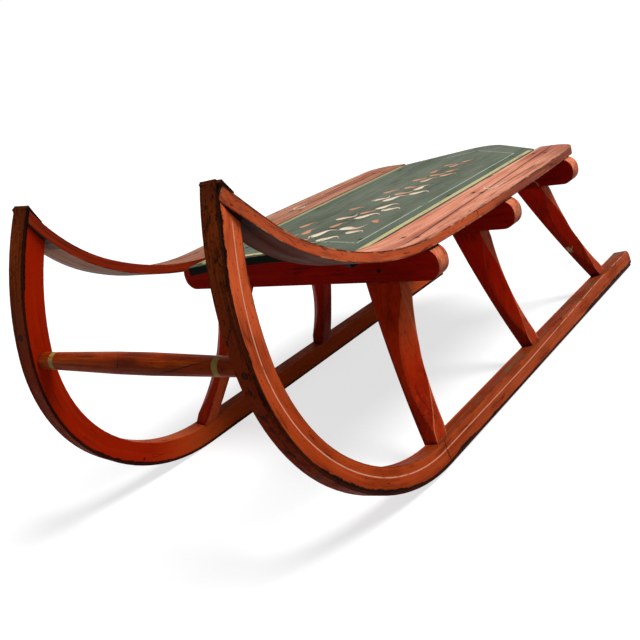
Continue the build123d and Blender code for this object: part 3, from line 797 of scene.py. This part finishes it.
def addRibbon(mesh, layers, path, halfWidths, level, closed=False, tones=None, kind=0.0):
    # a thin closed film of paint along a path in plan: a little above the wood, its underside sunk in
    rise, sunk = filmSet["rise"], filmSet["sunk"]
    count = len(path)
    rows = []
    for i, (spot, half) in enumerate(zip(path, halfWidths)):
        before = path[i - 1] if closed or i else spot
        after = path[(i + 1) % count] if closed or i < count - 1 else spot
        across = (after - before).normalized().orthogonal() * half
        corners = [(spot + across, rise), (spot - across, rise), (spot - across, -sunk), (spot + across, -sunk)]
        row = [mesh.verts.new((place.x, place.y, level + lift)) for place, lift in corners]
        # the brush was loaded with two colours, side by side
        for vert, side in zip(row, (1, -1, -1, 1)):
            vert[layers["tone"]] = tones[i] + side * filmSet["twoTone"] if tones else 0.0
            vert[layers["kind"]] = kind
        rows.append(row)
    skinRows(mesh, rows, closed)


def filmPiece(name, draw, paint):
    mesh = bmesh.new()
    layers = {key: mesh.verts.layers.float.new(key) for key in ("tone", "kind")}
    draw(mesh, layers)
    meshPiece(mesh, name, paint)


for place, (middle, half) in beamSet["places"].items():
    makeBeam(place, middle, half)
print("beams rounded:", len(beamSet["places"]))

boardShape = {"top": 0.2292, "frontCorner": 0.222, "halfWidth": 0.1108, "hollow": 0.038, "steps": 33}
stripeSet = {"side": 0.0845, "behindFront": 0.035, "rear": -0.267, "apex": -0.332, "width": 0.0015}
borderSet = {"inset": 0.0016, "width": 0.0078, "rear": -0.276}


def hollowArc(inset, halfSpan):
    # points across the board that follow its hollow front end, from right to left
    half, hollow = boardShape["halfWidth"], boardShape["hollow"]
    radius = (half ** 2 + hollow ** 2) / (2 * hollow)
    centre = (boardShape["frontCorner"] - hollow + radius, 0.0)
    reach = asin(halfSpan / (radius + inset))
    return arcPoints(centre, radius + inset, pi + reach, pi - reach, boardShape["steps"])


def drawStripe(mesh, layers):
    front = hollowArc(stripeSet["behindFront"], stripeSet["side"])
    rear = [Vector((stripeSet["rear"], stripeSet["side"])), Vector((stripeSet["apex"], 0.0)),
            Vector((stripeSet["rear"], -stripeSet["side"]))]
    path = front + rear
    addRibbon(mesh, layers, path, [stripeSet["width"] / 2] * len(path), boardShape["top"], True, None, 2.0)


def drawBorder(mesh, layers):
    half = borderSet["width"] / 2
    side = boardShape["halfWidth"] - borderSet["inset"] - half
    front = hollowArc(borderSet["inset"] + half, side)
    path = [Vector((borderSet["rear"], -side))] + front + [Vector((borderSet["rear"], side))]
    addRibbon(mesh, layers, path, [half] * len(path), boardShape["top"], False, None, 1.0)


# comma strokes: x, y, length, width in millimetres, heading in degrees, bend, tone from cream to salmon
strokeTable = (
    (142, 30, 30, 13, 96, 0.26, 0.1), (134, -16, 34, 12, 150, -0.24, 0.8), (120, 52, 26, 11, 78, 0.22, 0.3),
    (116, 8, 38, 14, 126, 0.28, 0.1), (112, -50, 32, 12, 110, -0.22, 0.2), (98, -22, 28, 11, 160, 0.24, 0.9),
    (92, 34, 34, 14, 112, -0.26, 0.15), (78, 6, 26, 10, 138, 0.20, 0.8), (74, 58, 22, 9, 66, -0.20, 0.9),
    (66, -48, 26, 10, 132, 0.24, 0.85),
    (48, 26, 34, 13, 104, 0.28, 0.1), (38, -10, 30, 12, 146, -0.26, 0.3), (22, 44, 28, 12, 84, 0.22, 0.2),
    (20, 10, 24, 10, 158, -0.22, 0.85), (4, 30, 32, 12, 118, 0.26, 0.15), (-2, -20, 22, 9, 98, 0.20, 0.9),
    (-40, 16, 34, 13, 122, 0.26, 0.1), (-50, -12, 28, 11, 152, -0.24, 0.2), (-58, 40, 30, 12, 92, 0.26, 0.2),
    (-74, 10, 28, 11, 134, -0.24, 0.6), (-86, -16, 24, 10, 108, 0.22, 0.8), (-92, 30, 30, 12, 142, 0.26, 0.15),
    (-106, 6, 24, 10, 116, -0.22, 0.7),
    (-140, 14, 28, 11, 128, 0.24, 0.5), (-154, -10, 24, 10, 154, -0.22, 0.7), (-160, 32, 26, 10, 96, 0.24, 0.6),
    (-176, 8, 26, 10, 136, -0.22, 0.8), (-188, 26, 22, 9, 112, 0.20, 0.7), (-198, -4, 22, 9, 148, 0.22, 0.9),
    (-226, 14, 24, 9, 124, 0.24, 0.7), (-240, -4, 22, 8, 146, -0.20, 0.8), (-250, 20, 20, 8, 102, 0.22, 0.9),
)
strokeSet = {"rows": 15, "head": 0.28, "taper": 1.2, "thinnest": 0.12, "fade": 0.4}


def drawStrokes(mesh, layers):
    count, head = strokeSet["rows"], strokeSet["head"]
    for x, y, length, width, heading, bend, tone in strokeTable:
        forward = Vector((cos(radians(heading)), sin(radians(heading))))
        aside = Vector((-forward.y, forward.x))
        path, halves, tones = [], [], []
        for i in range(count):
            t = i / (count - 1)
            bow = bend * (4 * t * (1 - t) - 0.5 * sin(2 * pi * t))
            path.append((Vector((x, y)) + forward * length * (t - 0.5) + aside * length * bow) / 1000)
            if t < head:
                fullness = sqrt(max(1 - (1 - t / head) ** 2, 0.0))
            else:
                fullness = ((1 - t) / (1 - head)) ** strokeSet["taper"]
            halves.append(max(width / 2 * fullness, strokeSet["thinnest"]) / 1000)
            tones.append(tone + strokeSet["fade"] * t)
        addRibbon(mesh, layers, path, halves, boardShape["top"], False, tones)


# curls on the rails: turning point, radius and width in millimetres, and the side
curlTable = ((-52, 143, 8.0, 2.4, 1), (-46, -143, 8.0, 2.4, -1))
curlSet = {"start": -150.0, "end": 60.0, "points": 19, "tail": 6, "tailStep": 0.006, "tailTurn": 0.0003,
           "thinnest": 0.25, "tone": 0.1}


def drawCurls(mesh, layers):
    for x, y, radius, width, side in curlTable:
        start, end = [side * radians(curlSet[key]) for key in ("start", "end")]
        curl = arcPoints((x / 1000, y / 1000), radius / 1000, start, end, curlSet["points"])
        step = Vector((-curlSet["tailStep"], side * curlSet["tailTurn"]))
        path = curl + [curl[-1] + step * k for k in range(1, curlSet["tail"] + 1)]
        count = len(path)
        swell = [sin(pi * min((i + 1) / count, 0.5 + i / count / 2)) for i in range(count)]
        thinnest = curlSet["thinnest"]
        halves = [width / 2000 * (thinnest + (1 - thinnest) * share) for share in swell]
        addRibbon(mesh, layers, path, halves, railTop, False, [curlSet["tone"]] * count)


filmPiece("boardStripe", drawStripe, brushPaint)
filmPiece("boardBorder", drawBorder, brushPaint)
filmPiece("boardStrokes", drawStrokes, brushPaint)
filmPiece("railCurls", drawCurls, curlPaint)
print("ornament painted:", len(strokeTable), "strokes")


capSet = {"left": 0.013, "right": 0.021, "thick": 0.0034, "thin": 0.0011, "sunk": 0.0003, "rows": 7,
          "front": 0.4044, "inner": 0.1118, "proud": 0.0002}


def drawCaps(mesh):
    # the shoes' ends, hammered flat over the whole width of the rails' tips
    centre, nose = railTopCentre, railShape["noseCentre"]
    radius = railShape["topRadius"] - railShape["thickness"]
    first = asin((capSet["front"] - centre[0]) / radius)
    for side, back in ((1, capSet["left"]), (-1, capSet["right"])):
        rows = []
        for i in range(capSet["rows"]):
            share = i / (capSet["rows"] - 1)
            turn = first - share * back / radius
            thick = capSet["thick"] + (capSet["thin"] - capSet["thick"]) * share
            low, high = [Vector((centre[0] + reach * sin(turn), centre[1] - reach * cos(turn)))
                         for reach in (radius + capSet["sunk"], radius - thick)]
            outer = nose[1] + sqrt(railShape["noseRadius"] ** 2 - (low.x - nose[0]) ** 2) + capSet["proud"]
            corners = ((low, capSet["inner"]), (low, outer), (high, outer), (high, capSet["inner"]))
            rows.append([mesh.verts.new((spot.x, side * y, spot.y)) for spot, y in corners])
        skinRows(mesh, rows)


capMesh = bmesh.new()
drawCaps(capMesh)
meshPiece(capMesh, "tipCaps", finishes["shoe"])
print("iron ends folded over the tips")


headSet = {"sides": 14, "crown": 0.72, "smallest": 0.82, "largest": 1.15}


def makeHeadTree():
    # flat round heads set on points, each turned to face its own way
    tree = bpy.data.node_groups.new("fastenerHeads", "GeometryNodeTree")
    sockets = (("Points", "INPUT", "NodeSocketGeometry"), ("Head radius", "INPUT", "NodeSocketFloat"),
               ("Head height", "INPUT", "NodeSocketFloat"), ("Seed", "INPUT", "NodeSocketInt"),
               ("Iron", "INPUT", "NodeSocketMaterial"), ("Heads", "OUTPUT", "NodeSocketGeometry"))
    for name, way, kind in sockets:
        tree.interface.new_socket(name, in_out=way, socket_type=kind)
    given = put(tree, "NodeGroupInput").outputs
    crown = product(tree, given["Head radius"], headSet["crown"])
    cone = {"Vertices": headSet["sides"], "Radius Top": crown, "Radius Bottom": given["Head radius"],
            "Depth": given["Head height"]}
    head = put(tree, "GeometryNodeMeshCone", cone).outputs["Mesh"]
    facing = put(tree, "GeometryNodeInputNamedAttribute", {"Name": "facing"}, data_type="FLOAT_VECTOR").outputs[0]
    turned = put(tree, "FunctionNodeAlignRotationToVector", {"Vector": facing}, axis="Z").outputs[0]
    limits = {2: headSet["smallest"], 3: headSet["largest"], "Seed": given["Seed"]}
    uneven = put(tree, "FunctionNodeRandomValue", limits, data_type="FLOAT").outputs[1]
    dots = put(tree, "GeometryNodeMeshToPoints", {"Mesh": given["Points"]}).outputs[0]
    placed = put(tree, "GeometryNodeInstanceOnPoints", {"Points": dots, "Instance": head, "Rotation": turned,
                                                        "Scale": vector(tree, uneven, uneven, 1.0)}).outputs[0]
    real = put(tree, "GeometryNodeRealizeInstances", {0: placed}).outputs[0]
    iron = put(tree, "GeometryNodeSetMaterial", {"Geometry": real, "Material": given["Iron"]}).outputs[0]
    tree.links.new(iron, put(tree, "NodeGroupOutput").inputs["Heads"])
    return tree


headTree = makeHeadTree()


def setHeads(name, rows, sizes, material):
    points = bpy.data.meshes.new(name + "Points")
    points.from_pydata([row[0] for row in rows], [], [])
    facing = points.attributes.new("facing", "FLOAT_VECTOR", "POINT")
    for value, row in zip(facing.data, rows):
        value.vector = row[1]
    holder = bpy.data.objects.new(name + "Holder", points)
    bpy.context.scene.collection.objects.link(holder)
    modifier = holder.modifiers.new("heads", "NODES")
    modifier.node_group = headTree
    settings = {"Head radius": sizes["radius"], "Head height": sizes["height"], "Seed": sizes["seed"],
                "Iron": material}
    for key, value in settings.items():
        modifier[headTree.interface.items_tree[key].identifier] = value
    evaluated = holder.evaluated_get(bpy.context.evaluated_depsgraph_get())
    mesh = bpy.data.meshes.new_from_object(evaluated)
    bpy.data.objects.remove(holder)
    keep(bpy.data.objects.new(name, mesh))


nailSet = {"radius": 0.0025, "height": 0.0006, "seed": 4, "proud": 0.00015}
screwSet = {"radius": 0.0028, "height": 0.0008, "seed": 9, "sunk": 0.0008}


def nailRows(sizes):
    rows = []
    for nails, top in ((nailPlaces["rail"], railTop), (nailPlaces["board"], boardShape["top"])):
        for x, y in nails:
            for side in (1, -1):
                rows.append(((x / 1000, side * y / 1000, top + sizes["proud"] - sizes["height"]), (0, 0, 1)))
    return rows


def screwRows(sizes):
    # heads flush with the shoes; above the front of the bow the tip's arc takes over
    lean, stand = sin(radians(runnerShape["cant"])), cos(radians(runnerShape["cant"]))
    across = runnerShape["width"] / 2
    rows = []
    for side, angles in ((1, screwAngles["left"]), (-1, screwAngles["right"])):
        for angle in angles:
            turn = radians(angle)
            radius = bowRadius if angle < 0 else runnerShape["tipRadius"]
            x = runnerShape["front"] - radius + (radius - sizes["sunk"]) * cos(turn)
            up = runnerShape["bowHeight"] + (radius - sizes["sunk"]) * sin(turn)
            y = side * (runnerShape["halfTrack"] + across * stand - up * lean)
            z = across * lean + up * stand
            rows.append(((x, y, z), (cos(turn), -side * sin(turn) * lean, sin(turn) * stand)))
    return rows


setHeads("deckNails", nailRows(nailSet), nailSet, nailIron)
setHeads("shoeScrews", screwRows(screwSet), screwSet, nailIron)
print("nails and screws set")


floorSet = {"half": 40.0, "level": -0.0004, "shade": 0.45, "bounce": 0.30, "lift": 0.70, "rough": 0.9}
lampSet = {"towards": (-0.30, 0.90, 1.85), "spread": 28.0, "strength": 2.95}
worldSet = {"ambient": 0.18}
cameraSet = {"place": (0.9183, 0.6023, 0.4302), "turn": (72.83, 12.58, 124.20), "lens": 49.635, "sensor": 36.0}


def seenDirectly(tree):
    # 1 for what the camera, a reflection or a clear surface sees
    light = put(tree, "ShaderNodeLightPath").outputs
    return most(tree, light["Is Camera Ray"], light["Is Glossy Ray"], light["Is Transmission Ray"])


def makeFloor(sizes):
    half, level = sizes["half"], sizes["level"]
    corners = [(-half, -half, level), (half, -half, level), (half, half, level), (-half, half, level)]
    data = bpy.data.meshes.new("floor")
    data.from_pydata(corners, [], [(0, 1, 2, 3)])
    material = bpy.data.materials.new("paleFloor")
    material.use_nodes = True
    tree = material.node_tree
    shader = tree.nodes["Principled BSDF"]
    shader.inputs["Roughness"].default_value = sizes["rough"]
    shader.inputs["Specular IOR Level"].default_value = 0.0
    shader.inputs["Emission Color"].default_value = (1, 1, 1, 1)
    direct = seenDirectly(tree)
    grey, pale = [(sizes[key],) * 3 + (1.0,) for key in ("bounce", "shade")]
    tree.links.new(mixed(tree, direct, grey, pale), shader.inputs["Base Color"])
    tree.links.new(product(tree, direct, sizes["lift"]), shader.inputs["Emission Strength"])
    data.materials.append(material)
    floor = bpy.data.objects.new("floor", data)
    bpy.context.scene.collection.objects.link(floor)


def makeLamp(sizes):
    # one broad soft lamp, high over the left side
    data = bpy.data.lights.new("key", "SUN")
    data.angle = radians(sizes["spread"])
    data.energy = sizes["strength"]
    lamp = bpy.data.objects.new("key", data)
    lamp.location = sizes["towards"]
    lamp.rotation_euler = Vector(sizes["towards"]).to_track_quat("Z", "Y").to_euler()
    bpy.context.scene.collection.objects.link(lamp)


def makeWorld(sizes):
    world = bpy.data.worlds.new("studio")
    world.use_nodes = True
    tree = world.node_tree
    background = tree.nodes["Background"]
    background.inputs["Color"].default_value = (1, 1, 1, 1)
    strength = span(tree, seenDirectly(tree), 0.0, 1.0, sizes["ambient"], 1.0)
    tree.links.new(strength, background.inputs["Strength"])
    bpy.context.scene.world = world


def makeCamera(sizes):
    data = bpy.data.cameras.new("camera")
    data.lens = sizes["lens"]
    data.sensor_width = sizes["sensor"]
    camera = bpy.data.objects.new("camera", data)
    camera.location = sizes["place"]
    camera.rotation_euler = [radians(angle) for angle in sizes["turn"]]
    bpy.context.scene.collection.objects.link(camera)
    bpy.context.scene.camera = camera


makeFloor(floorSet)
makeLamp(lampSet)
makeWorld(worldSet)
makeCamera(cameraSet)
bpy.context.scene.view_settings.view_transform = "Standard"
print("stage set")
